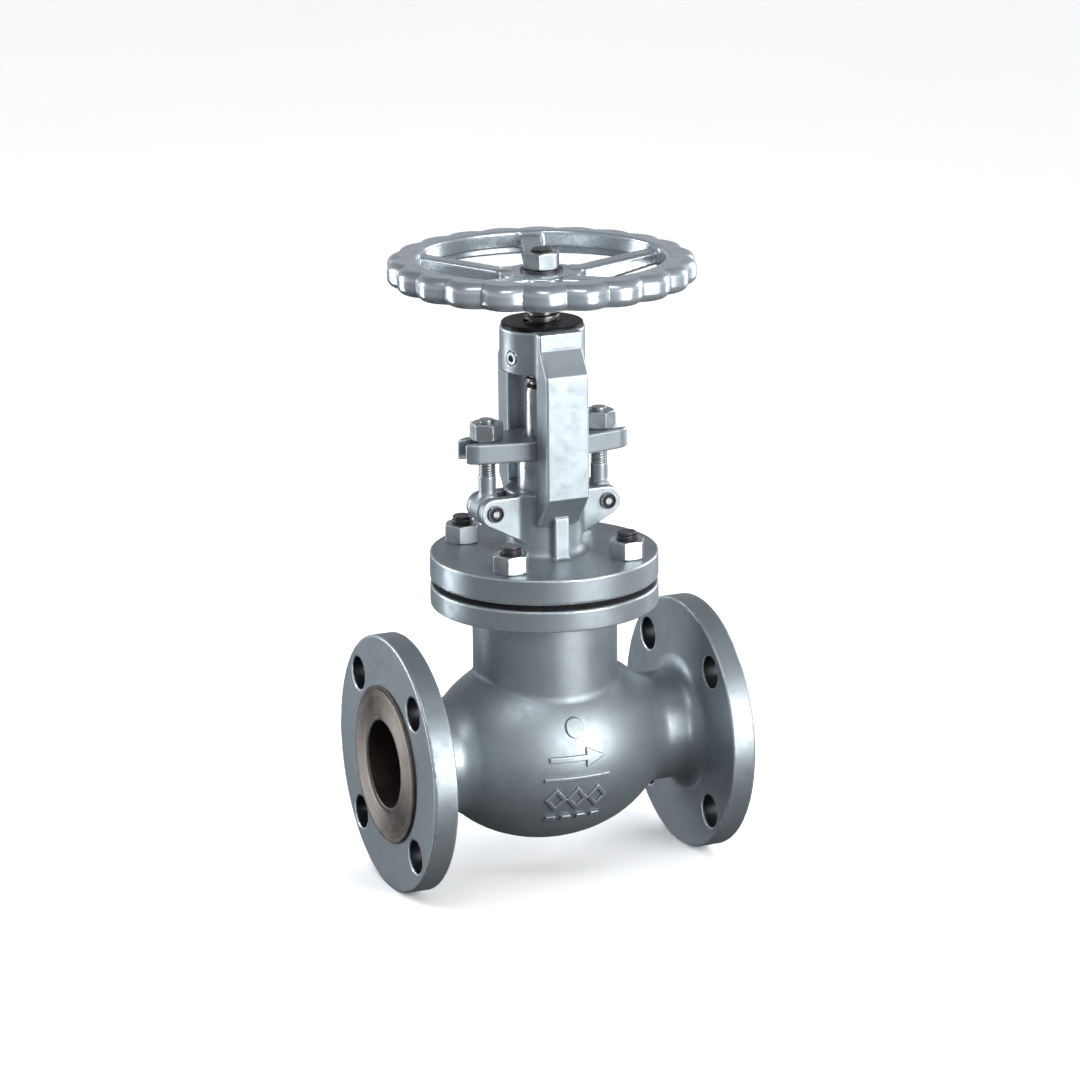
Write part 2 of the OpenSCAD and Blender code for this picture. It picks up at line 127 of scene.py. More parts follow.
WHEEL_R = 88.0
RIM_IN_R = 70.4
RIM_Z = 274.0
RIM_TOP_Z = 288.8
LOBES = 22
LOBE_START = math.radians(2.5)
LOBE_DEPTH = 4.0
SPOKES = 5
SPOKE_HALF_W = 6.35

# ---------- fields ----------


def union_round(a, b, r):
    """Both shapes, with a fillet of radius r where they meet."""
    corner = np.hypot(np.maximum(r - a, 0), np.maximum(r - b, 0))
    return np.maximum(r, np.minimum(a, b)) - corner


def common_round(a, b, r):
    """What two shapes share, with the edge between them rounded to radius r."""
    corner = np.hypot(np.maximum(r + a, 0), np.maximum(r + b, 0))
    return np.minimum(-r, np.maximum(a, b)) + corner


def cut_round(a, b, r):
    """The first shape without the second, with the edge of the cut rounded."""
    return common_round(a, -b, r)


def slab(w, low, high):
    return np.maximum(low - w, w - high)


def ellipsoid(x, off, along, across):
    reach = np.sqrt((x / along) ** 2 + (off / across) ** 2) + 1e-6
    steep = np.sqrt((x / along**2) ** 2 + (off / across**2) ** 2) + 1e-6
    return reach * (reach - 1) / steep


def outline_field(points, u, v):
    """Signed distance to a closed outline in the plane of u and v."""
    nearest = np.inf
    sign = 1.0
    for (u0, v0), (u1, v1) in zip(points, points[1:] + points[:1]):
        du, dv = u1 - u0, v1 - v0
        t = np.clip(((u - u0) * du + (v - v0) * dv) / (du * du + dv * dv), 0, 1)
        nearest = np.minimum(nearest, (u - u0 - t * du) ** 2 + (v - v0 - t * dv) ** 2)
        above, below = v >= v0, v < v1
        left = du * (v - v0) > dv * (u - u0)
        flips = (above & below & left) | (~above & ~below & ~left)
        sign = np.where(flips, -sign, sign)
    return sign * np.sqrt(nearest)


# ---------- mesh tools ----------


def new_object(name, points, faces, smooth_angle=None):
    mesh = bpy.data.meshes.new(name)
    mesh.from_pydata([tuple(p) for p in points], [], [tuple(f) for f in faces])
    mesh.validate()
    mesh.shade_smooth()
    if smooth_angle is not None:
        mesh.set_sharp_from_angle(angle=math.radians(smooth_angle))
    obj = bpy.data.objects.new(name, mesh)
    bpy.context.collection.objects.link(obj)
    return obj


def slopes(field, points, reach):
    """Gradient of a field at each point, by central differences."""
    columns = []
    for axis in range(3):
        ahead, behind = points.copy(), points.copy()
        ahead[:, axis] += reach
        behind[:, axis] -= reach
        columns.append((field(*ahead.T) - field(*behind.T)) / (2 * reach))
    return np.stack(columns, axis=1)


def cell_points(value, cells):
    """One point in each crossed cell: the mean of where its edges are crossed."""
    total = np.zeros((len(cells), 3))
    hits = np.zeros(len(cells))
    for axis in range(3):
        unit = np.eye(3, dtype=int)[axis]
        sides = [np.eye(3, dtype=int)[a] for a in range(3) if a != axis]
        for i in (0, 1):
            for j in (0, 1):
                start = cells + i * sides[0] + j * sides[1]
                v0 = value[tuple(start.T)]
                v1 = value[tuple((start + unit).T)]
                crossed = (v0 < 0) != (v1 < 0)
                t = np.where(crossed, v0 / np.where(crossed, v0 - v1, 1), 0)
                total += np.where(crossed[:, None], start + t[:, None] * unit, 0)
                hits += crossed
    return total / hits[:, None]


def cell_faces(inside, number):
    """One quad for each grid edge that the surface crosses."""
    faces = []
    for axis in range(3):
        u, v = (axis + 1) % 3, (axis + 2) % 3
        near = [slice(1, -1)] * 3
        far = [slice(1, -1)] * 3
        near[axis], far[axis] = slice(0, -1), slice(1, None)
        near_in, far_in = inside[tuple(near)], inside[tuple(far)]
        for leaves in (True, False):
            edges = np.argwhere((near_in & ~far_in) if leaves else (far_in & ~near_in))
            edges += [0 if a == axis else 1 for a in range(3)]
            unit_u, unit_v = np.eye(3, dtype=int)[u], np.eye(3, dtype=int)[v]
            ring = [edges - unit_u - unit_v, edges - unit_v, edges, edges - unit_u]
            quad = np.stack([number[tuple(c.T)] for c in ring], axis=1)
            faces.append(quad if leaves else quad[:, ::-1])
    return np.concatenate(faces)


def casting(name, field, low, high, step, edge_reach=1.5):
    """Mesh of a field's surface, with its own smooth normals and an attribute that is high on edges."""
    low = np.array(low, float) - 2 * step
    axes = [np.arange(a, b + 3 * step, step) for a, b in zip(low, high)]
    grid = np.meshgrid(*axes, indexing="ij", sparse=True)
    shape = tuple(len(a) for a in axes)
    value = np.array(np.broadcast_to(field(*grid), shape), dtype=np.float64)
    inside = value < 0
    corners = sum(
        inside[i : shape[0] - 1 + i, j : shape[1] - 1 + j, k : shape[2] - 1 + k].astype(np.int8)
        for i in (0, 1) for j in (0, 1) for k in (0, 1)
    )
    cells = np.argwhere((corners > 0) & (corners < 8))
    number = np.full(corners.shape, -1)
    number[tuple(cells.T)] = np.arange(len(cells))
    points = low + step * cell_points(value, cells)
    for _ in range(4):
        slope = slopes(field, points, 0.1 * step)
        steep = np.maximum(np.linalg.norm(slope, axis=1), 0.3)
        move = np.clip(field(*points.T) / steep, -0.5 * step, 0.5 * step)
        points -= slope * (move / steep)[:, None]
    normals = slopes(field, points, 0.25 * step)
    normals /= np.maximum(np.linalg.norm(normals, axis=1, keepdims=True), 1e-9)
    around = 0
    for axis in range(3):
        for way in (-edge_reach, edge_reach):
            moved = points.copy()
            moved[:, axis] += way
            around = around + field(*moved.T) / 6
    bend = (around - field(*points.T)) / edge_reach
    obj = new_object(name, points * MM, cell_faces(inside, number).tolist())
    edge = obj.data.attributes.new("edge", "FLOAT", "POINT")
    edge.data.foreach_set("value", bend.astype(np.float32))
    obj.data.normals_split_custom_set_from_vertices(normals.tolist())
    return obj


def recalc_normals(obj):
    work = bmesh.new()
    work.from_mesh(obj.data)
    bmesh.ops.recalc_face_normals(work, faces=work.faces)
    work.to_mesh(obj.data)
    work.free()


def turned(name, profile, segments=96, smooth_angle=35):
    """A closed shape turned about the stem's axis, from (radius, height) pairs that start and end on it."""
    rows = []
    points = []
    for radius, height in profile:
        count = 1 if radius == 0 else segments
        rows.append(range(len(points), len(points) + count))
        for i in range(count):
            a = 2 * math.pi * i / segments
            points.append((radius * math.cos(a), radius * math.sin(a), height))
    faces = []
    for lower, upper in zip(rows, rows[1:]):
        for i in range(segments):
            j = (i + 1) % segments
            if len(lower) == 1:
                faces.append((lower[0], upper[j], upper[i]))
            elif len(upper) == 1:
                faces.append((lower[i], lower[j], upper[0]))
            else:
                faces.append((lower[i], lower[j], upper[j], upper[i]))
    return new_object(name, np.array(points) * MM, faces, smooth_angle)


CROSS_AXIS = (0.0, 1.0, 0.0)

THREAD_SHAPES = {
    "metric": [0.0, 0.0, 0.5, 1.0, 1.0, 0.5],
    "trapezoid": [0.0, 0.0, 0.0, 1.0, 1.0, 1.0],
}
THREAD_STEPS = {
    "metric": [0.0, 0.22, 0.42, 0.6, 0.72, 0.86],
    "trapezoid": [0.0, 0.18, 0.34, 0.5, 0.68, 0.84],
}


def thread_points(radius, depth, pitch, low, high, centre, shape, segments):
    """Rows of a screw thread, run out to its root at both ends, with the faces between them."""
    levels, steps = THREAD_SHAPES[shape], THREAD_STEPS[shape]
    per_turn = len(levels)
    rows = (math.ceil((high - low) / pitch) + 2) * per_turn
    row, column = np.meshgrid(np.arange(rows), np.arange(segments), indexing="ij")
    z = low - pitch + pitch * (row // per_turn + np.array(steps)[row % per_turn] + column / segments)
    z = np.clip(z, low, high)
    full = np.clip(np.minimum(z - low, high - z) / (0.6 * pitch), 0, 1)
    r = radius - depth + depth * full * np.array(levels)[row % per_turn]
    angle = 2 * math.pi * column / segments
    points = np.stack([centre[0] + r * np.cos(angle), centre[1] + r * np.sin(angle), z], axis=2)
    faces = []
    for i in range(rows - 1):
        for j in range(segments):
            if j + 1 < segments:
                faces.append((i * segments + j, i * segments + j + 1,
                              (i + 1) * segments + j + 1, (i + 1) * segments + j))
            elif i + 1 + per_turn < rows:
                faces.append((i * segments + j, (i + per_turn) * segments,
                              (i + 1 + per_turn) * segments, (i + 1) * segments + j))
    return points.reshape(-1, 3), faces


def threaded_rods(name, rods, shape="metric", segments=40):
    """Closed threaded rods in one mesh; each is (radius, depth, pitch, low, high, centre)."""
    points, faces = [], []
    for rod in rods:
        rod_points, rod_faces = thread_points(*rod, shape, segments)
        start = sum(len(p) for p in points)
        points.append(rod_points)
        faces += [tuple(start + i for i in f) for f in rod_faces]
    obj = new_object(name, np.concatenate(points) * MM, faces)
    work = bmesh.new()
    work.from_mesh(obj.data)
    bmesh.ops.remove_doubles(work, verts=work.verts, dist=1e-7)
    bmesh.ops.dissolve_degenerate(work, dist=1e-7, edges=work.edges)
    bmesh.ops.holes_fill(work, edges=[e for e in work.edges if e.is_boundary], sides=0)
    bmesh.ops.recalc_face_normals(work, faces=work.faces)
    work.to_mesh(obj.data)
    work.free()
    obj.data.shade_smooth()
    obj.data.set_sharp_from_angle(angle=math.radians(40))
    return obj


# ---------- materials ----------


class Finish:
    """A node material, with short calls for the nodes that the finishes share."""

    def __init__(self, name):
        self.material = bpy.data.materials.new(name)
        self.material.use_nodes = True
        self.tree = self.material.node_tree
        self.tree.nodes.clear()
        self.place = self.add("TexCoord").outputs["Object"]

    def add(self, kind, inputs=None, **settings):
        node = self.tree.nodes.new("ShaderNode" + kind)
        for key, value in settings.items():
            setattr(node, key, value)
        for key, value in (inputs or {}).items():
            if isinstance(value, bpy.types.NodeSocket):
                self.tree.links.new(value, node.inputs[key])
            else:
                node.inputs[key].default_value = value
        return node

    def math(self, operation, a, b=0.0):
        node = self.add("Math", {0: a, 1: b}, operation=operation)
        return node.outputs[0]

    def vector(self, operation, a, b=(0, 0, 0)):
        node = self.add("VectorMath", {0: a, 1: b}, operation=operation)
        return node.outputs["Value" if operation in ("LENGTH", "DOT_PRODUCT") else "Vector"]

    def noise(self, scale, detail=4.0, rough=0.55, where=None):
        inputs = {"Vector": where or self.place, "Scale": scale, "Detail": detail, "Roughness": rough}
        return self.add("TexNoise", inputs).outputs[0]

    def spread(self, value, low, high, to_low=0.0, to_high=1.0):
        inputs = {"Value": value, "From Min": low, "From Max": high, "To Min": to_low, "To Max": to_high}
        return self.add("MapRange", inputs).outputs[0]

    def blend(self, factor, a, b):
        node = self.add("Mix", data_type="RGBA")
        for key, value in ((0, factor), (6, a), (7, b)):
            if isinstance(value, bpy.types.NodeSocket):
                self.tree.links.new(value, node.inputs[key])
            else:
                node.inputs[key].default_value = value if key == 0 else (*value, 1.0)
        return node.outputs[2]

    def field_edge(self):
        """The edge value that a casting's mesh carries: above 0 on edges, below 0 in hollows."""
        return self.add("Attribute", attribute_name="edge").outputs["Fac"]

    def bevel_edge(self, radius):
        """How far a softened normal leans from the true one, which is near the edges of a CAD solid."""
        soft = self.add("Bevel", {"Radius": radius}, samples=4).outputs[0]
        true = self.add("NewGeometry").outputs["Normal"]
        lean = self.math("SUBTRACT", 1.0, self.vector("DOT_PRODUCT", soft, true))
        return self.math("MULTIPLY", lean, 0.9)

    def rings(self, centre, axis, pitch):
        """Fine lathe lines about an axis through a centre, in metres."""
        moved = self.vector("SUBTRACT", self.place, centre)
        across = self.vector("MULTIPLY", moved, tuple(1.0 - abs(a) for a in axis))
        radius = self.vector("LENGTH", across)
        along = self.vector("DOT_PRODUCT", moved, axis)
        where = self.add("CombineXYZ", {0: radius, 1: along, 2: 0.0}).outputs[0]
        return self.noise(1.0 / pitch, 2.0, 0.6, where)

    def done(self, colour, metallic, roughness, bump_sources, coat=0.0, specular=0.5):
        """Joins the shader: bump sources are (height, depth in metres) pairs."""
        normal = None
        for height, depth in bump_sources:
            inputs = {"Height": height, "Strength": 1.0, "Distance": depth}
            if normal is not None:
                inputs["Normal"] = normal
            normal = self.add("Bump", inputs).outputs[0]
        inputs = {"Base Color": colour, "Metallic": metallic, "Roughness": roughness, "Normal": normal,
                  "Specular IOR Level": specular}
        if coat:
            inputs["Coat Weight"] = coat
            inputs["Coat Roughness"] = 0.25
        shader = self.add("BsdfPrincipled", inputs)
        output = self.add("OutputMaterial")
        self.tree.links.new(shader.outputs[0], output.inputs[0])
        return self.material


def bolt_hole_mask(finish):
    """1 inside the end flanges' bolt holes, which are painted dark as the shade in them, and 0 elsewhere."""
    split = finish.add("SeparateXYZ", {0: finish.place}).outputs
    reach = BOLT_CIRCLE_R / math.sqrt(2) * MM
    aside = [finish.math("SUBTRACT", finish.math("ABSOLUTE", split[i]), reach) for i in (1, 2)]
    where = finish.add("CombineXYZ", {0: aside[0], 1: aside[1], 2: 0.0}).outputs[0]
    off = finish.vector("LENGTH", where)
    round_hole = finish.spread(off, (BOLT_HOLE_R + 0.35) * MM, (BOLT_HOLE_R + 0.1) * MM)
    in_flange = finish.spread(finish.math("ABSOLUTE", split[0]), (FLANGE_BACK - 1) * MM, FLANGE_BACK * MM)
    return finish.math("MULTIPLY", round_hole, in_flange)


def painted_cast(name, dark, light, worn, rough, grain, gloss=0.0, hole_shade=None):
    """Silver paint over a shot-blasted casting: mottled, worn on edges, and darkened in hollows as painted
    shade, where the hollows are also rougher.
    """
    finish = Finish(name)
    edge = finish.field_edge()
    mottle = finish.noise(28.0, 5.0, 0.6)
    patches = finish.noise(160.0, 6.0, 0.65)
    grit = finish.noise(900.0, 3.0, 0.6)
    speck = finish.noise(2600.0, 2.0, 0.5)
    tone = finish.spread(mottle, 0.35, 0.65)
    colour = finish.blend(tone, dark, light)
    fleck = finish.spread(patches, 0.52, 0.74, 0.0, 0.3)
    colour = finish.blend(fleck, colour, tuple(0.7 * c for c in dark))
    broken = finish.math("ADD", edge, finish.spread(patches, 0.3, 0.7, -0.04, 0.04))
    wear = finish.spread(broken, 0.07, 0.2, 0.0, 0.75)
    colour = finish.blend(wear, colour, worn)
    # Painted shade: hollows and creases are coloured darker, as shade where little light reaches; the same
    # mask also roughens them.
    hollow_shade_and_dust = finish.spread(edge, -0.02, -0.16, 0.0, 0.55)
    colour = finish.blend(hollow_shade_and_dust, colour, (0.10, 0.11, 0.12))
    # Painted shade: where the mask is 1 the colour goes near black, as shade inside the bolt holes.
    if hole_shade:
        colour = finish.blend(hole_shade(finish), colour, (0.03, 0.032, 0.035))
    roughness = finish.spread(patches, 0.3, 0.7, rough - 0.06, rough + 0.08)
    roughness = finish.math("ADD", roughness, finish.math("MULTIPLY", hollow_shade_and_dust, 0.25))
    roughness = finish.math("SUBTRACT", roughness, finish.math("MULTIPLY", wear, 0.1))
    bumps = [(patches, 0.5 * grain), (grit, grain), (speck, 0.3 * grain)]
    return finish.done(colour, METAL_IN_PAINT, roughness, bumps, gloss)


def machined(name, dark, light, rough, centre, axis, pitch=0.0006, depth=0.00004, edges=None):
    """Turned metal: lathe lines, stains and slightly bright edges."""
    finish = Finish(name)
    edge = finish.field_edge() if edges == "field" else finish.bevel_edge(0.0005)
    lines = finish.rings(centre, axis, pitch)
    stains = finish.noise(110.0, 5.0, 0.6)
    grain = finish.noise(1500.0, 3.0, 0.6)
    tone = finish.math("ADD", finish.math("MULTIPLY", lines, 0.5), finish.math("MULTIPLY", stains, 0.5))
    colour = finish.blend(finish.spread(tone, 0.38, 0.62), dark, light)
    wear = finish.spread(edge, 0.05, 0.2, 0.0, 0.6)
    colour = finish.blend(wear, colour, tuple(min(1.0, 1.35 * c) for c in light))
    roughness = finish.spread(stains, 0.3, 0.7, rough - 0.07, rough + 0.1)
    return finish.done(colour, 1.0, roughness, [(lines, depth), (grain, 0.3 * depth)])


def rough_black(name, dark, light, rough, scale, depth, metallic=0.0):
    """Black sheet, oxide or graphite: dull, flecked and slightly uneven."""
    finish = Finish(name)
    cloud = finish.noise(scale, 5.0, 0.65)
    fleck = finish.noise(scale * 9, 3.0, 0.6)
    edge = finish.bevel_edge(0.0005)
    colour = finish.blend(finish.spread(cloud, 0.35, 0.7), dark, light)
    wear = finish.spread(finish.math("ADD", edge, finish.spread(fleck, 0.3, 0.7, -0.05, 0.05)), 0.08, 0.3)
    colour = finish.blend(finish.math("MULTIPLY", wear, 0.5), colour, tuple(4 * c for c in light))
    roughness = finish.spread(fleck, 0.3, 0.7, rough - 0.1, rough + 0.1)
    return finish.done(colour, metallic, roughness, [(cloud, depth), (fleck, 0.5 * depth)], specular=0.15)


def braided(name):
    """Graphite packing: crossing strands round the ring."""
    finish = Finish(name)
    strands = finish.add("TexWave", {"Vector": finish.place, "Scale": 260.0, "Distortion": 3.0},
                         bands_direction="DIAGONAL").outputs[1]
    fuzz = finish.noise(1400.0, 4.0, 0.7)
    colour = finish.blend(strands, (0.02, 0.02, 0.022), (0.10, 0.10, 0.11))
    roughness = finish.spread(fuzz, 0.3, 0.7, 0.45, 0.7)
    return finish.done(colour, 0.2, roughness, [(strands, 0.0003), (fuzz, 0.0001)])


def pin_finish(name, centre):
    """A pin's end: steel centre and rim, with a darker ring between them."""
    finish = Finish(name)
    moved = finish.vector("SUBTRACT", finish.place, centre)
    radius = finish.vector("LENGTH", finish.vector("MULTIPLY", moved, (1.0, 0.0, 1.0)))
    stains = finish.noise(700.0, 4.0, 0.6)
    lines = finish.rings(centre, CROSS_AXIS, 0.0004)
    steel = finish.blend(finish.spread(stains, 0.35, 0.65), (0.16, 0.165, 0.17), (0.30, 0.305, 0.31))
    # The ring between the centre and the rim is coloured darker than the steel and made rougher.
    inner = finish.spread(radius, 0.0017, 0.0021)
    outer = finish.spread(radius, 0.0046, 0.0042)
    dark_ring = finish.math("MULTIPLY", inner, outer)
    colour = finish.blend(dark_ring, steel, (0.035, 0.037, 0.042))
    roughness = finish.math("ADD", finish.spread(stains, 0.3, 0.7, 0.22, 0.34),
                            finish.math("MULTIPLY", dark_ring, 0.2))
    return finish.done(colour, 0.9, roughness, [(lines, 0.00003), (stains, 0.00002)])


def pipe_bore(name):
    """The unpainted, rusted inside of the body, with its colour kept near black as painted shade deep in the
    bore.
    """
    finish = Finish(name)
    cloud = finish.noise(70.0, 6.0, 0.65)
    pits = finish.noise(420.0, 4.0, 0.6)
    # Rust tones, darkened near to black as painted shade of the deep bore.
    colour = finish.blend(finish.spread(cloud, 0.35, 0.65), (0.020, 0.015, 0.013), (0.055, 0.038, 0.029))
    colour = finish.blend(finish.spread(pits, 0.55, 0.75, 0.0, 0.5), colour, (0.015, 0.012, 0.012))
    roughness = finish.spread(pits, 0.3, 0.7, 0.55, 0.8)
    return finish.done(colour, 0.35, roughness, [(cloud, 0.0005), (pits, 0.0003)])


METAL_IN_PAINT = 0.68
PIPE_AXIS = (1.0, 0.0, 0.0)
STEM_AXIS = (0.0, 0.0, 1.0)
ORIGIN = (0.0, 0.0, 0.0)

PAINT_TONES = ((0.30, 0.342, 0.367), (0.355, 0.40, 0.425), (0.64, 0.69, 0.72))
cast_paint = painted_cast("cast_paint", *PAINT_TONES, 0.42, 0.00005)
# The body's paint, darkened in the bolt holes as painted shade.
body_paint = painted_cast("body_paint", *PAINT_TONES, 0.42, 0.00005, hole_shade=bolt_hole_mask)
wheel_paint = painted_cast("wheel_paint", (0.50, 0.56, 0.60), (0.61, 0.67, 0.71), (0.80, 0.85, 0.88),
                           0.27, 0.000006, 0.3)
raised_face = machined("raised_face", (0.09, 0.078, 0.07), (0.22, 0.195, 0.175), 0.42, ORIGIN, PIPE_AXIS,
                       0.0008, 0.00006)
bore_rust_and_shade = pipe_bore("bore_rust_and_shade")
nut_zinc = machined("nut_zinc", (0.38, 0.42, 0.43), (0.57, 0.61, 0.62), 0.34, ORIGIN, STEM_AXIS,
                    0.0004, 0.00002, edges="field")
stud_steel = machined("stud_steel", (0.08, 0.078, 0.082), (0.19, 0.182, 0.187), 0.42, ORIGIN, STEM_AXIS)
bolt_zinc = machined("bolt_zinc", (0.38, 0.41, 0.41), (0.58, 0.61, 0.61), 0.36, ORIGIN, STEM_AXIS)
stainless = machined("stainless", (0.38, 0.40, 0.41), (0.58, 0.60, 0.61), 0.3, ORIGIN, STEM_AXIS)
stem_bright = machined("stem_bright", (0.20, 0.205, 0.21), (0.34, 0.345, 0.35), 0.3, ORIGIN, STEM_AXIS,
                       0.0005, 0.00001)
stem_oiled = machined("stem_oiled", (0.09, 0.084, 0.082), (0.24, 0.222, 0.215), 0.36, ORIGIN, STEM_AXIS)
bronze = machined("bronze", (0.42, 0.27, 0.12), (0.68, 0.48, 0.24), 0.3, ORIGIN, STEM_AXIS)
black_oxide = rough_black("black_oxide", (0.008, 0.008, 0.009), (0.022, 0.022, 0.024), 0.42, 140.0,
                          0.00008, 0.5)
# Painted shade: the bonnet gasket is near black, a real gasket that also stands for the shadow in the gap
# between the flanges.
gasket_shade_black = rough_black("gasket_shade_black", (0.006, 0.006, 0.007), (0.018, 0.018, 0.019), 0.75, 260.0,
                           0.00015)
packing_braid = braided("packing_braid")
pin_left = pin_finish("pin_left", (-PIN_X * MM, 0.0, PIN_Z * MM))
pin_right = pin_finish("pin_right", (PIN_X * MM, 0.0, PIN_Z * MM))


def dress(obj, material):
    obj.data.materials.clear()
    obj.data.materials.append(material)


def dress_faces(obj, material, chosen):
    """Gives the faces for which chosen(x, y, z) holds, in millimetres, a second material."""
    count = len(obj.data.polygons)
    centres = np.empty(count * 3, dtype=np.float32)
    obj.data.polygons.foreach_get("center", centres)
    slots = np.empty(count, dtype=np.int32)
    obj.data.polygons.foreach_get("material_index", slots)
    slots[chosen(*(centres.reshape(-1, 3).T / MM))] = len(obj.data.materials)
    obj.data.materials.append(material)
    obj.data.polygons.foreach_set("material_index", slots)


def put(piece, body, slot, *nodes):
    """A new piece rides on a body and stands for CAD nodes, which it hides; the slot argument is not used."""
    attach(piece, body)
    if nodes:
        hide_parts(*nodes)


# ---------- body ----------

# Each face ring is also the skin of the bore, this thick, from the flange face in to this distance
LINER_T = 0.8
LINER_IN_X = 62.0
FACE_GROOVES = 16


def globe(x, y, z, inset=0.0):
    return ellipsoid(x, np.hypot(y, z), GLOBE_L - inset, GLOBE_R - inset)


def body_cavity(x, y, z):
    off = np.hypot(y, z)
    rise = np.hypot(x, y)
    passage = np.minimum(globe(x, y, z, WALL), off - BORE_R - LINER_T * (np.abs(x) > LINER_IN_X))
    passage = union_round(passage, np.maximum(rise - NECK_BORE_R, -z), 3.0)
    plate = np.maximum(np.abs(x) - WEB_X - WALL, slab(z, WEB_LOW_Z, WEB_TOP_Z))
    inlet_wall = np.maximum(slab(x, -WEB_X - WALL, -WEB_X), WEB_LOW_Z - z)
    outlet_wall = np.maximum(slab(x, WEB_X, WEB_X + WALL), z - WEB_TOP_Z)
    web = union_round(plate, inlet_wall, 4.0)
    web = union_round(web, outlet_wall, 4.0)
    web = np.maximum(web, SEAT_HOLE_R - rise)
    return cut_round(passage, web, 1.5)


def body_field(x, y, z):
    off = np.hypot(y, z)
    rise = np.hypot(x, y)
    along = np.abs(x)
    neck = np.maximum(off - PIPE_NECK_R, along - FLANGE_BACK - 4)
    shape = union_round(globe(x, y, z), neck, GLOBE_TO_PIPE_BLEND)
    rim = common_round(off - FLANGE_R, slab(along, FLANGE_BACK, HALF_L - FACE_H), 1.2)
    shape = union_round(shape, rim, PIPE_TO_FLANGE_BLEND)
    upright = np.maximum(rise - NECK_R, slab(z, 0, BODY_FLANGE_Z + 4))
    shape = union_round(shape, upright, GLOBE_TO_NECK_BLEND)
    top = common_round(rise - BODY_FLANGE_R, slab(z, BODY_FLANGE_Z, BODY_TOP_Z), FLANGE_EDGE_R)
    shape = union_round(shape, top, NECK_TO_FLANGE_BLEND)
    shape = cut_round(shape, body_cavity(x, y, z), 1.0)
    reach = BOLT_CIRCLE_R / math.sqrt(2)
    bolt = np.hypot(np.abs(y) - reach, np.abs(z) - reach) - BOLT_HOLE_R
    shape = cut_round(shape, np.maximum(bolt, FLANGE_BACK - 6 - along), 1.0)
    stud = np.hypot(np.abs(x) - STUD_OFFSET, np.abs(y) - STUD_OFFSET) - STUD_R
    return np.maximum(shape, -np.maximum(stud, BODY_FLANGE_Z - 4 - z))


def build_body():
    body = casting("body_casting", body_field, (-HALF_L, -FLANGE_R, -FLANGE_R),
                   (HALF_L, FLANGE_R, BODY_TOP_Z), 1.4)
    dress(body, body_paint)
    # Faces inside the cavity take the bore colour: rust, and painted shade near black.
    dress_faces(body, bore_rust_and_shade, lambda x, y, z:
                (body_cavity(x, y, z) < 0.6) & (np.abs(x) < HALF_L) & (z < BODY_TOP_Z - 1))
    put(body, "valve", "cast_paint", "body", "inlet_flange", "outlet_flange")
    for side, word in ((-1, "inlet"), (1, "outlet")):
        build_end_face(side, word)


def build_end_face(side, word):
    """The machined raised face, with the skin of the bore behind it: a ring turned about the pipe."""
    out, back = HALF_L, HALF_L - 2 * FACE_H
    profile = [(BORE_R, LINER_IN_X), (BORE_R + LINER_T, LINER_IN_X), (BORE_R + LINER_T, back),
               (FACE_R, back), (FACE_R, out - 0.35), (FACE_R - 0.35, out)]
    for i in range(FACE_GROOVES):
        radius = FACE_R - 2.5 - (FACE_R - BORE_R - 5.0) * i / FACE_GROOVES
        profile += [(radius, out), (radius - 0.35, out - 0.12), (radius - 0.7, out)]
    profile += [(BORE_R + 0.6, out), (BORE_R, out - 0.6)]
    segments = 128
    points, faces = [], []
    for i in range(segments):
        a = 2 * math.pi * i / segments
        points += [(side * x * MM, r * math.cos(a) * MM, side * r * math.sin(a) * MM) for r, x in profile]
    count = len(profile)
    for i in range(segments):
        for k in range(count):
            a, b = i * count, (i + 1) % segments * count
            j = (k + 1) % count
            faces.append((a + k, a + j, b + j, b + k))
    ring = new_object(f"{word}_face_ring", points, faces, 25)
    recalc_normals(ring)
    dress(ring, raised_face)
    dress_faces(ring, bore_rust_and_shade, lambda x, y, z: np.hypot(y, z) < BORE_R + 0.2)
    put(ring, "valve", "cast_paint")


# Raised marks cast on the globe's front: a round boss, a flow arrow, a bar and two rows of foundry marks
MARK_H = 1.5
MARK_X = -4.0
BOSS_Z = 24.0
ARROW_Z = 7.0
BAR_Z = -5.0
TALL_ROW_Z = -18.0
LOW_ROW_Z = -31.0
MARK_HALF_W = 17.0
BOSS_R = 5.5
ARROW_TIP_X = 5.0
ARROW_TIP_HALF_W = 6.0
ARROW_HALF_W = 1.7
BAR_HALF_W = 1.3
DIAMONDS = 3
DIAMOND_SPACING = 12.5
DASHES = 4
DASH_SPACING = 9.0


def marks_outline(x, z):
    u = x - MARK_X
    shape = np.hypot(u, z - BOSS_Z) - BOSS_R
    arrow = [(-MARK_HALF_W, -ARROW_HALF_W), (ARROW_TIP_X, -ARROW_HALF_W), (ARROW_TIP_X, -ARROW_TIP_HALF_W),
             (MARK_HALF_W, 0), (ARROW_TIP_X, ARROW_TIP_HALF_W), (ARROW_TIP_X, ARROW_HALF_W),
             (-MARK_HALF_W, ARROW_HALF_W)]
    shape = np.minimum(shape, outline_field(arrow, u, z - ARROW_Z))
    shape = np.minimum(shape, np.maximum(np.abs(u) - MARK_HALF_W - 3, np.abs(z - BAR_Z) - BAR_HALF_W))
    for i in range(DIAMONDS):
        aside = np.abs(u - (i - (DIAMONDS - 1) / 2) * DIAMOND_SPACING)
        diamond = 0.8 * (aside + 0.85 * np.abs(z - TALL_ROW_Z) - 5.0)
        shape = np.minimum(shape, np.abs(diamond) - 1.2)
    for i in range(DASHES):
        aside = np.abs(u - (i - (DASHES - 1) / 2) * DASH_SPACING)
        shape = np.minimum(shape, np.maximum(aside - 2.8, np.abs(z - LOW_ROW_Z) - 1.6))
    return shape


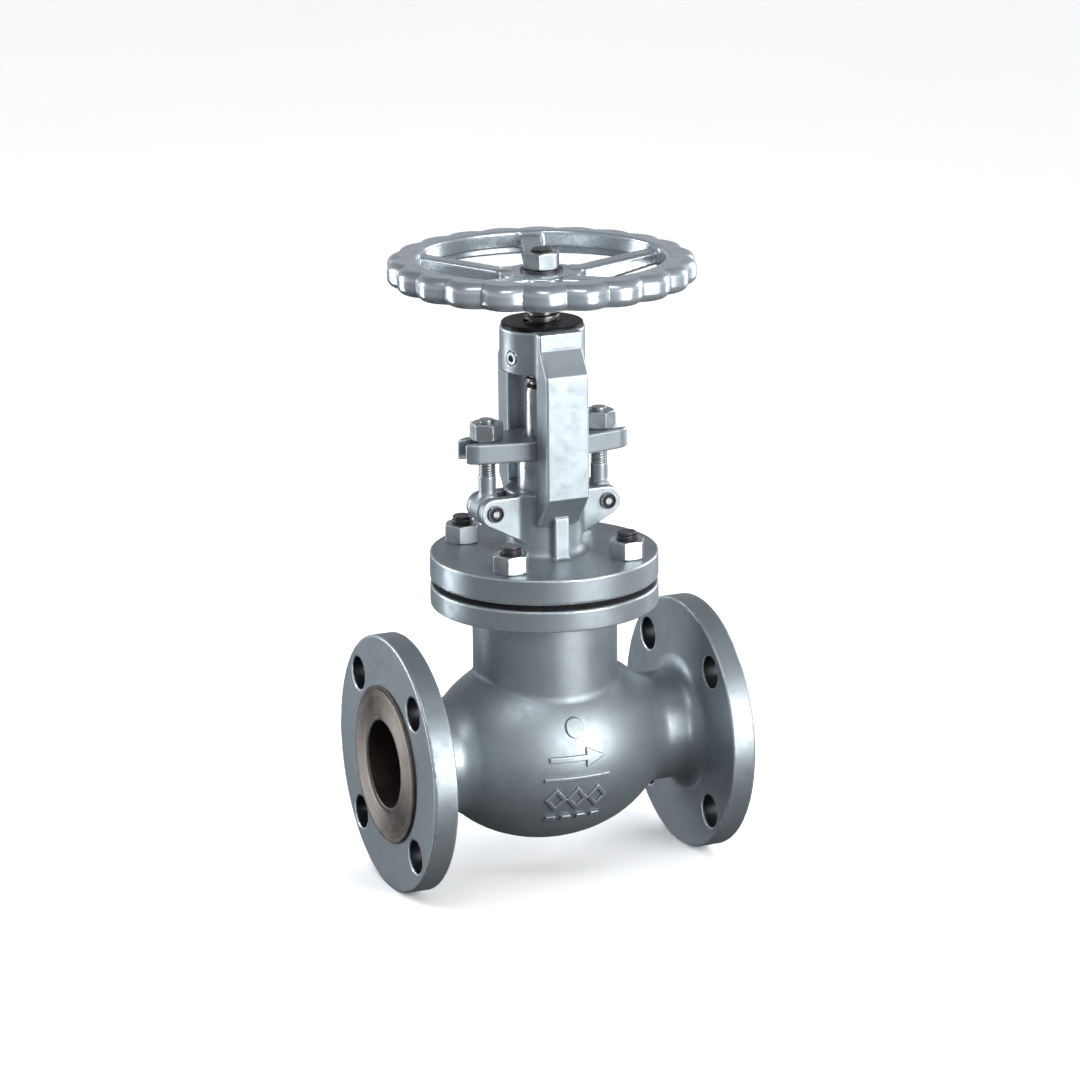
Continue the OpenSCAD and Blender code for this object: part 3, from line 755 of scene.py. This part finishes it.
def marks_field(x, y, z):
    skin = globe(x, y, z)
    shape = common_round(marks_outline(x, z), np.maximum(skin - MARK_H, -1.2 - skin), 0.55)
    return np.maximum(shape, y)


def build_marks():
    left, right = MARK_X - MARK_HALF_W - 4, MARK_X + MARK_HALF_W + 4
    marks = casting("cast_marks", marks_field, (left, -GLOBE_R - 2, LOW_ROW_Z - 3),
                    (right, -GLOBE_R + 18, BOSS_Z + 7), 0.6, 0.8)
    dress(marks, cast_paint)
    put(marks, "valve", "cast_paint")


# ---------- bonnet and yoke ----------

EAR_R = 8.5
EAR_IN = 6.5
EAR_OUT = 12.0
EAR_SLOPE = math.radians(28)
RIB_HALF_W = 4.4
STUD_CLEARANCE = 0.75
SET_SCREW_HOLE_R = 4.0
UNDER_RECESS_TOP_Z = 106.0
STUD_HOLE_TOP_Z = 125.0


def ear_outline():
    low_x = PIN_X + EAR_R * math.sin(EAR_SLOPE)
    low_z = PIN_Z - EAR_R * math.cos(EAR_SLOPE)
    root_z = low_z - (low_x - BOX_R / 2) * math.tan(EAR_SLOPE)
    return [(0, PIN_Z + EAR_R), (PIN_X, PIN_Z + EAR_R), (low_x, low_z), (BOX_R / 2, root_z), (0, root_z)]


def arm_outline():
    inner = BOX_BORE_R + 2
    pad = ARM_OUT - 9
    return [(inner, HUB_TOP_Z), (pad, HUB_TOP_Z), (pad, HUB_TOP_Z - 9), (ARM_OUT, HUB_TOP_Z - 23.5),
            (ARM_OUT, BOX_TOP_Z + 0.7), (BOX_R - 0.5, BOX_TOP_Z - 17), (inner, BOX_TOP_Z - 17),
            (inner, BOX_TOP_Z), (ARM_IN, BOX_TOP_Z), (ARM_IN, HUB_Z), (inner, HUB_Z)]


def bonnet_solid(x, y, z):
    rise = np.hypot(x, y)
    ax, ay = np.abs(x), np.abs(y)
    flange = common_round(rise - BODY_FLANGE_R, slab(z, BONNET_Z, BONNET_TOP_Z), FLANGE_EDGE_R)
    spigot = common_round(rise - NECK_BORE_R + 0.1, slab(z, SPIGOT_Z, BONNET_Z + 5), 0.6)
    box = common_round(rise - BOX_R, slab(z, BONNET_TOP_Z - 6, BOX_TOP_Z), 0.8)
    shape = union_round(np.minimum(flange, spigot), box, 5.0)
    plate = np.minimum(outline_field(ear_outline(), ax, z), np.hypot(ax - PIN_X, z - PIN_Z) - EAR_R)
    ears = common_round(plate, slab(ay, EAR_IN, EAR_OUT), 0.9)
    shape = union_round(shape, ears, 2.0)
    rib = common_round(ax - RIB_HALF_W, np.maximum(slab(ay, BOX_BORE_R + 2, ARM_OUT - 9.5),
                                                   slab(z, BONNET_TOP_Z - 3, BOX_TOP_Z - 13)), 0.9)
    shape = union_round(shape, rib, 2.0)
    arms = common_round(outline_field(arm_outline(), ay, z), ax - ARM_HALF_W, 1.1)
    hub = common_round(rise - HUB_R, slab(z, HUB_Z, HUB_TOP_Z), 0.9)
    return union_round(shape, union_round(arms, hub, 3.0), 1.8)


def bonnet_field(x, y, z):
    rise = np.hypot(x, y)
    shape = bonnet_solid(x, y, z)
    shape = cut_round(shape, np.maximum(rise - BOX_BORE_R, slab(z, BOX_FLOOR_Z, BOX_TOP_Z + 20)), 0.8)
    shape = np.maximum(shape, STEM_R + 0.6 - rise)
    shape = np.maximum(shape, -np.maximum(rise - BOX_BORE_R, z - UNDER_RECESS_TOP_Z))
    stud = np.hypot(np.abs(x) - STUD_OFFSET, np.abs(y) - STUD_OFFSET) - STUD_R - STUD_CLEARANCE
    shape = np.maximum(shape, -np.maximum(stud, z - STUD_HOLE_TOP_Z))
    pin = np.hypot(np.abs(x) - PIN_X, z - PIN_Z) - PIN_R
    shape = np.maximum(shape, -pin)
    shape = cut_round(shape, np.maximum(rise - BUSH_R, HUB_Z + 4 - z), 0.5)
    shape = np.maximum(shape, -np.maximum(rise - BUSH_R + 3, HUB_Z - 3 - z))
    out = x * math.cos(SET_SCREW_ANGLE) + y * math.sin(SET_SCREW_ANGLE)
    side = y * math.cos(SET_SCREW_ANGLE) - x * math.sin(SET_SCREW_ANGLE)
    screw = np.maximum(np.hypot(side, z - SET_SCREW_Z) - SET_SCREW_HOLE_R, -out)
    return cut_round(shape, screw, 0.6)


def build_bonnet():
    bonnet = casting("bonnet_casting", bonnet_field, (-BODY_FLANGE_R, -BODY_FLANGE_R, SPIGOT_Z),
                     (BODY_FLANGE_R, BODY_FLANGE_R, HUB_TOP_Z), 1.15)
    dress(bonnet, cast_paint)
    put(bonnet, "valve", "cast_paint", "bonnet")


# ---------- fasteners ----------

BONNET_NUT_FLATS, BONNET_NUT_H = 18.8, 11.0
GLAND_NUT_FLATS, GLAND_NUT_H = 17.0, 10.0
WHEEL_NUT_FLATS, WHEEL_NUT_H, WHEEL_NUT_Z = 19.0, 10.0, 281.6
STUD_PITCH, STUD_THREAD_DEPTH = 1.75, 0.9
EYEBOLT_PITCH, EYEBOLT_THREAD_DEPTH = 1.5, 0.8
TIP_R = 6.0
EYE_R = 9.0
EYE_HALF_W = 6.0
SLOT_HALF_W = 5.5


def nut_field(across_flats, height, hole_r, low, centre, turn):
    corner_r = across_flats / 2 / math.cos(math.radians(30))

    def field(x, y, z):
        u, v, w = x - centre[0], y - centre[1], z - low
        out = np.hypot(u, v)
        hexagon = -np.inf
        for i in range(3):
            a = turn + math.radians(60 * i)
            hexagon = np.maximum(hexagon, np.abs(u * math.cos(a) + v * math.sin(a)) - across_flats / 2)
        body = common_round(hexagon, slab(w, 0, height), 0.3)
        for end in (w - height, -w):
            cone = 0.5 * (out - across_flats / 2) + math.cos(math.radians(30)) * end
            body = common_round(body, cone, 0.35)
        bevel = (out - hole_r - np.clip(np.maximum(w - height, -w) + 1.0, 0, 1.0)) * 0.8
        return np.maximum(cut_round(body, bevel, 0.2), out - corner_r)

    return field


def hex_nut(name, across_flats, height, hole_r, low, centre, turn):
    half = across_flats / 2 / math.cos(math.radians(30))
    field = nut_field(across_flats, height, hole_r, low, centre, turn)
    nut = casting(name, field, (centre[0] - half, centre[1] - half, low),
                  (centre[0] + half, centre[1] + half, low + height), 0.45, 0.6)
    dress(nut, nut_zinc)
    return nut


def build_bonnet_bolting():
    places = [(sx * STUD_OFFSET, sy * STUD_OFFSET) for sx in (-1, 1) for sy in (-1, 1)]
    rods = [(STUD_R, STUD_THREAD_DEPTH, STUD_PITCH, BODY_FLANGE_Z, STUD_TOP_Z, place) for place in places]
    studs = threaded_rods("bonnet_stud_threads", rods)
    dress(studs, stud_steel)
    put(studs, "valve", "dark_steel", "bonnet_studs")
    for i, place in enumerate(places):
        nut = hex_nut(f"bonnet_nut_{i + 1}", BONNET_NUT_FLATS, BONNET_NUT_H, STUD_R - 0.1,
                      BONNET_TOP_Z, place, math.radians(30))
        put(nut, "valve", "nut_steel", "bonnet_nuts")


def eye_field(centre_x):
    def field(x, y, z):
        off = np.hypot(x - centre_x, z - PIN_Z)
        eye = common_round(off - EYE_R, np.abs(y) - EYE_HALF_W, 1.2)
        shank = np.maximum(np.hypot(x - centre_x, y) - EYEBOLT_R, slab(z, PIN_Z, PIN_Z + 20))
        shape = union_round(eye, shank, 2.5)
        return cut_round(shape, off - PIN_R - 0.06, 0.5)

    return field


def build_eyebolt(side, word):
    x = side * PIN_X
    low, high = (x - EYE_R, -EYE_HALF_W, PIN_Z - EYE_R), (x + EYE_R, EYE_HALF_W, PIN_Z + 20)
    eye = casting(f"eyebolt_{word}_eye", eye_field(x), low, high, 0.5, 0.8)
    dress(eye, cast_paint)
    put(eye, f"{word}_eyebolt", "nut_steel", f"eyebolt_{word}")
    rod = (EYEBOLT_R, EYEBOLT_THREAD_DEPTH, EYEBOLT_PITCH, PIN_Z + 18, EYEBOLT_TOP_Z, (x, 0))
    thread = threaded_rods(f"eyebolt_{word}_thread", [rod])
    dress(thread, bolt_zinc)
    put(thread, f"{word}_eyebolt", "nut_steel", f"eyebolt_{word}")
    nut = hex_nut(f"gland_nut_{word}_hex", GLAND_NUT_FLATS, GLAND_NUT_H, EYEBOLT_R - 0.1,
                  GLAND_Z + GLAND_T + 0.25, (x, 0), 0.0)
    put(nut, f"{word}_gland_nut", "nut_steel", f"gland_nut_{word}")


def gland_field(x, y, z):
    ax = np.abs(x)
    end_x = GLAND_HALF_L - GLAND_END_R
    lean = math.asin((GLAND_MID_R - GLAND_END_R) / end_x)
    mid = np.hypot(x, y) - GLAND_MID_R
    end = np.hypot(ax - end_x, y) - GLAND_END_R
    side = ax * math.sin(lean) + np.abs(y) * math.cos(lean) - GLAND_MID_R
    along = ax * math.cos(lean) - np.abs(y) * math.sin(lean)
    outline = np.where(along < 0, mid, np.where(along > end_x * math.cos(lean), end, side))
    shape = common_round(outline, slab(z, GLAND_Z, GLAND_Z + GLAND_T), 1.2)
    shape = cut_round(shape, np.hypot(x, y) - STEM_R - 0.8, 0.6)
    slot = np.maximum(np.abs(y) - SLOT_HALF_W, PIN_X - ax)
    slot = np.minimum(np.hypot(ax - PIN_X, y) - SLOT_HALF_W, slot)
    shape = cut_round(shape, slot, 0.8)
    return np.maximum(shape, -np.maximum(np.hypot(x, y) - 12.6, z - GLAND_Z - 3.3))


def build_gland():
    gland = casting("gland_flange_casting", gland_field, (-GLAND_HALF_L, -GLAND_MID_R, GLAND_Z),
                    (GLAND_HALF_L, GLAND_MID_R, GLAND_Z + GLAND_T), 0.75, 1.0)
    dress(gland, cast_paint)
    put(gland, "valve", "cast_paint", "gland_flange")


# ---------- stem ----------

COLLAR_R = 13.0
COLLAR_Z = 72.0
COLLAR_TOP_Z = 76.0
THREAD_DEPTH = 2.2
SQUARE_HALF_W = 7.0


def build_stem():
    """The shank (button end, its neck, plain rod, back-seat collar, thread core), thread, square and tip."""
    shank = turned("stem_shank", [
        (0, 8.2), (8.8, 8.2), (9.8, 9.2), (9.8, 11.9), (7, 11.9), (7, 16.2), (9.7, 16.2), (STEM_R, 16.5),
        (STEM_R, COLLAR_Z - 3), (COLLAR_R - 0.3, COLLAR_Z - 0.3), (COLLAR_R, COLLAR_Z),
        (COLLAR_R, COLLAR_TOP_Z), (STEM_R, COLLAR_TOP_Z + 3), (STEM_R, STEM_THREAD_Z - 2),
        (STEM_R - 0.6, STEM_THREAD_Z), (STEM_R - 2.3, STEM_THREAD_Z + 0.6), (0, STEM_THREAD_Z + 0.6),
    ])
    dress(shank, stem_bright)
    put(shank, "stem_group", "stem_steel", "stem")
    thread = threaded_rods("stem_thread", [
        (STEM_R, THREAD_DEPTH, STEM_PITCH, STEM_THREAD_Z, WHEEL_HUB_Z - 0.05, (0, 0))], "trapezoid", 64)
    dress(thread, stem_oiled)
    put(thread, "stem_group", "stem_steel", "stem")
    bar = square_bar(SQUARE_HALF_W, WHEEL_HUB_Z - 1, WHEEL_HUB_TOP_Z - 0.3, 0.8)
    square = new_object("stem_square", *bar, 30)
    dress(square, stem_bright)
    put(square, "stem_group", "stem_steel", "stem")
    tip = threaded_rods("stem_tip_thread", [
        (TIP_R, STUD_THREAD_DEPTH, STUD_PITCH, WHEEL_HUB_TOP_Z - 0.5, STEM_TOP_Z, (0, 0))])
    dress(tip, stud_steel)
    put(tip, "stem_group", "stem_steel", "stem")


def square_bar(half_w, low, high, corner):
    """Points and faces of a square bar with bevelled corners and ends."""
    def outline(half):
        cut = half - corner
        return [(half, -cut), (half, cut), (cut, half), (-cut, half),
                (-half, cut), (-half, -cut), (-cut, -half), (cut, -half)]
    levels = [(half_w - corner / 2, low), (half_w, low + corner / 2),
              (half_w, high - corner / 2), (half_w - corner / 2, high)]
    points = [(x * MM, y * MM, z * MM) for half, z in levels for x, y in outline(half)]
    faces = [tuple(reversed(range(8))), tuple(range(24, 32))]
    for row in range(3):
        for i in range(8):
            j = (i + 1) % 8
            faces.append((row * 8 + i, row * 8 + j, row * 8 + 8 + j, row * 8 + 8 + i))
    return points, faces


# ---------- handwheel ----------

RIM_EDGE_R = 5.5
RIM_LIP_W = 6.0
RIM_LIP_DEPTH = 9.8
HUB_OUT_R = 23.0
HUB_BOSS_R = 17.0
SPOKE_ROOT_R = 18.0
SPOKE_BEND_R = 31.0


def wheel_field(x, y, z):
    out = np.hypot(x, y)
    angle = np.arctan2(y, x)
    swell = 1 - np.abs(np.cos(LOBES * (angle - LOBE_START) / 2))
    lobed = (out - WHEEL_R + LOBE_DEPTH * swell) * 0.9
    rim = common_round(lobed, slab(z, RIM_Z, RIM_TOP_Z), RIM_EDGE_R)
    rim = cut_round(rim, out - RIM_IN_R, 1.6)
    rim = cut_round(rim, np.maximum(out - RIM_IN_R - RIM_LIP_W, z - RIM_TOP_Z + RIM_LIP_DEPTH), 1.2)
    hub = common_round(out - HUB_OUT_R, slab(z, WHEEL_HUB_Z + 3, WHEEL_HUB_TOP_Z), 1.4)
    boss = common_round(out - HUB_BOSS_R, slab(z, WHEEL_HUB_Z, WHEEL_HUB_Z + 8), 0.8)
    shape = union_round(hub, boss, 1.5)
    tip = RIM_IN_R + 4
    section = [(SPOKE_ROOT_R, WHEEL_HUB_TOP_Z - 0.4), (tip, RIM_TOP_Z - 2), (tip, RIM_TOP_Z - 9.5),
               (SPOKE_BEND_R, WHEEL_HUB_TOP_Z - 10), (SPOKE_ROOT_R, WHEEL_HUB_TOP_Z - 10)]
    for i in range(SPOKES):
        a = 2 * math.pi * i / SPOKES
        along = x * math.cos(a) + y * math.sin(a)
        aside = np.abs(y * math.cos(a) - x * math.sin(a))
        spoke = common_round(outline_field(section, along, z), aside - SPOKE_HALF_W, 2.0)
        shape = union_round(shape, spoke, 3.0)
    shape = union_round(shape, rim, 3.0)
    hole = np.maximum(np.abs(x), np.abs(y)) - SQUARE_HALF_W - 0.02
    return np.maximum(shape, -hole)


def build_wheel():
    wheel = casting("handwheel_casting", wheel_field, (-WHEEL_R, -WHEEL_R, WHEEL_HUB_Z),
                    (WHEEL_R, WHEEL_R, RIM_TOP_Z), 1.0)
    dress(wheel, wheel_paint)
    put(wheel, "stem_group", "wheel_paint", "handwheel")
    nut = hex_nut("handwheel_nut_hex", WHEEL_NUT_FLATS, WHEEL_NUT_H, TIP_R - 0.1, WHEEL_NUT_Z,
                  (0, 0), math.radians(30))
    put(nut, "stem_group", "nut_steel", "handwheel_nut")


# ---------- CAD nodes that keep their shape ----------

CAD_FINISHES = {
    "bonnet_gasket": gasket_shade_black,
    "bush_retainer": black_oxide,
    "handwheel_washer": stud_steel,
    "yoke_set_screw": bolt_zinc,
    "eyebolt_pin_left": pin_left,
    "eyebolt_pin_right": pin_right,
    "gland_follower": stainless,
    "yoke_bush": bronze,
    "packing_washer": stainless,
    "packing_rings": packing_braid,
    "backseat_bush": stainless,
    "seat_ring": stainless,
    "disc": stainless,
    "disc_split_ring": bronze,
    "disc_nut": stainless,
}


def dress_cad():
    for node, material in CAD_FINISHES.items():
        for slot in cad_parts[node].material_slots:
            slot.material = material


# ---------- stage, lights and camera ----------

VIEW_YAW = math.radians(23.32)
VIEW_PITCH = math.radians(16.22)
VIEW_ROLL = math.radians(-0.53)
VIEW_DISTANCE = 2.362
VIEW_TARGET = Vector((0.0, 0.0, 0.103))
VIEW_LENS = 136.4
VIEW_SHIFT = (-0.004, 0.029)


def from_target(turn, rise, distance):
    """A place at an angle to the right of the camera and at a height angle, seen from the valve."""
    toward = Vector((-math.sin(VIEW_YAW), -math.cos(VIEW_YAW), 0))
    right = Vector((math.cos(VIEW_YAW), -math.sin(VIEW_YAW), 0))
    flat = math.cos(turn) * toward + math.sin(turn) * right
    return VIEW_TARGET + distance * (math.cos(rise) * flat + Vector((0, 0, math.sin(rise))))


def facing(place, target, roll=0.0):
    turn = (target - place).to_track_quat("-Z", "Y").to_matrix().to_4x4()
    return Matrix.Translation(place) @ turn @ Matrix.Rotation(roll, 4, "Z")


def softbox(name, turn, rise, distance, width, height, power, tint=(1, 1, 1)):
    light = bpy.data.lights.new(name, "AREA")
    light.shape = "RECTANGLE"
    light.size = width
    light.size_y = height
    light.energy = power
    light.color = tint
    obj = bpy.data.objects.new(name, light)
    bpy.context.collection.objects.link(obj)
    obj.matrix_world = facing(from_target(math.radians(turn), math.radians(rise), distance), VIEW_TARGET)


def build_floor():
    """A pale floor that the camera sees and the valve doesn't mirror, so that its underside stays dark."""
    finish = Finish("floor_pale")
    cloud = finish.noise(1.5, 3.0)
    colour = finish.blend(cloud, (0.86, 0.86, 0.86), (0.90, 0.90, 0.90))
    grain = finish.noise(300.0, 3.0)
    roughness = finish.spread(grain, 0.3, 0.7, 0.75, 0.9)
    material = finish.done(colour, 0.0, roughness, [(grain, 0.00005)])
    reach, level = 14.0, cad_box[0][2]
    corners = [(-reach, -reach, level), (reach, -reach, level), (reach, reach, level), (-reach, reach, level)]
    floor = new_object("floor", corners, [(0, 1, 2, 3)])
    dress(floor, material)
    floor.visible_diffuse = False
    floor.visible_glossy = False
    return floor


def build_world():
    """Soft surroundings, brightest at the level of the valve and dim overhead and underneath."""
    world = bpy.data.worlds.new("studio")
    bpy.context.scene.world = world
    world.use_nodes = True
    nodes, links = world.node_tree.nodes, world.node_tree.links
    nodes.clear()
    where = nodes.new("ShaderNodeTexCoord")
    split = nodes.new("ShaderNodeSeparateXYZ")
    ramp = nodes.new("ShaderNodeValToRGB")
    height = nodes.new("ShaderNodeMapRange")
    height.inputs["From Min"].default_value = -1.0
    stops = ramp.color_ramp.elements
    stops[0].position, stops[0].color = 0.1, (0.05, 0.052, 0.056, 1)
    stops[1].position, stops[1].color = 0.85, (0.14, 0.15, 0.165, 1)
    for position, colour in ((0.4, (0.20, 0.21, 0.225, 1)), (0.52, (0.56, 0.58, 0.61, 1))):
        stops.new(position).color = colour
    sky = nodes.new("ShaderNodeBackground")
    output = nodes.new("ShaderNodeOutputWorld")
    links.new(where.outputs["Generated"], split.inputs[0])
    links.new(split.outputs[2], height.inputs["Value"])
    links.new(height.outputs[0], ramp.inputs[0])
    links.new(ramp.outputs[0], sky.inputs[0])
    links.new(sky.outputs[0], output.inputs[0])


def floor_light(floor):
    """A broad overhead light that reaches only the floor, so that it is near white."""
    light = bpy.data.lights.new("floor_light", "AREA")
    light.size = 16.0
    light.energy = 900
    obj = bpy.data.objects.new("floor_light", light)
    bpy.context.collection.objects.link(obj)
    obj.location = (0.0, 3.0, 5.0)
    lit = bpy.data.collections.new("floor_only")
    lit.objects.link(floor)
    obj.light_linking.receiver_collection = lit


def build_camera():
    camera = bpy.data.cameras.new("camera")
    camera.lens = VIEW_LENS
    camera.sensor_width = 36.0
    camera.shift_x, camera.shift_y = VIEW_SHIFT
    obj = bpy.data.objects.new("camera", camera)
    bpy.context.collection.objects.link(obj)
    obj.matrix_world = facing(from_target(0, VIEW_PITCH, VIEW_DISTANCE), VIEW_TARGET, VIEW_ROLL)
    bpy.context.scene.camera = obj


bpy.context.scene.view_settings.view_transform = "Standard"
build_camera()
build_body()
build_marks()
build_bonnet()
build_bonnet_bolting()
build_gland()
build_eyebolt(-1, "left")
build_eyebolt(1, "right")
build_stem()
build_wheel()
dress_cad()
floor_light(build_floor())
build_world()
softbox("key_right", 46, 8, 1.5, 0.95, 1.1, 27)
softbox("rim_left", -108, 0, 1.5, 0.4, 1.4, 17, (0.93, 0.96, 1.0))
softbox("rim_right", 125, 10, 1.5, 0.5, 1.1, 11, (0.93, 0.96, 1.0))
softbox("high_front", -6, 56, 1.7, 0.9, 0.35, 6, (0.95, 0.97, 1.0))

bpy.context.view_layer.update()
